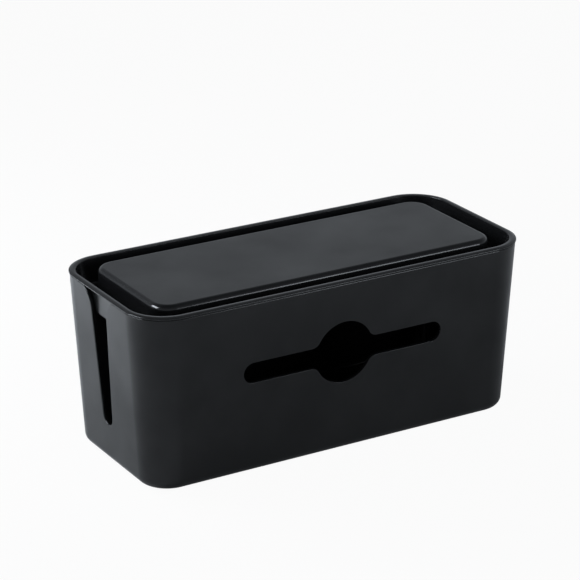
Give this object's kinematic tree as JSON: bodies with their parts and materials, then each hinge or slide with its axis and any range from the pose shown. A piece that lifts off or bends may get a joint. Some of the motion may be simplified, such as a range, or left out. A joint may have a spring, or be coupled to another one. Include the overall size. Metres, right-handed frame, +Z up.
{
  "type": "cable management box",
  "caption": "Deep rectangular cable box with a drop-in lid, a slotted front outlet, open-topped end slots and a clear stick-on hanging plate behind.",
  "frame": {"origin": "middle of the outline's footprint, on the surface that the feet stand on", "axes": "+X along the length to the right, +Y to the back where the hanging plate is, +Z up; the slotted front faces -Y"},
  "size_m": [0.2708, 0.1236, 0.1145],
  "materials": {
    "box_plastic": "semi-gloss black, fine moulded surface",
    "lid_plastic": "semi-gloss black, satin panel with polished edges",
    "foot_rubber": "matt black",
    "clear_plastic": "clear moulded plastic",
    "clear_film": "clear film, slightly hazy",
    "clear_adhesive": "clear adhesive, slightly milky"
  },
  "bodies": {
    "box": {"box_body": "box_plastic", "foot_front_left": "foot_rubber", "foot_front_right": "foot_rubber", "foot_back_left": "foot_rubber", "foot_back_right": "foot_rubber"},
    "lid": {"lid": "lid_plastic"},
    "plate": {"hanger_bar": "clear_plastic", "backing_film": "clear_film", "adhesive_layer": "clear_adhesive"}
  },
  "joints": [
    {"name": "lid_lift", "type": "slide", "parent": "box", "child": "lid", "axis": [0, 0, 1], "range_m": [0, 0.04]},
    {"name": "plate_slide", "type": "slide", "parent": "box", "child": "plate", "axis": [0, 0, -1], "range_m": [0, 0.03]}
  ]
}
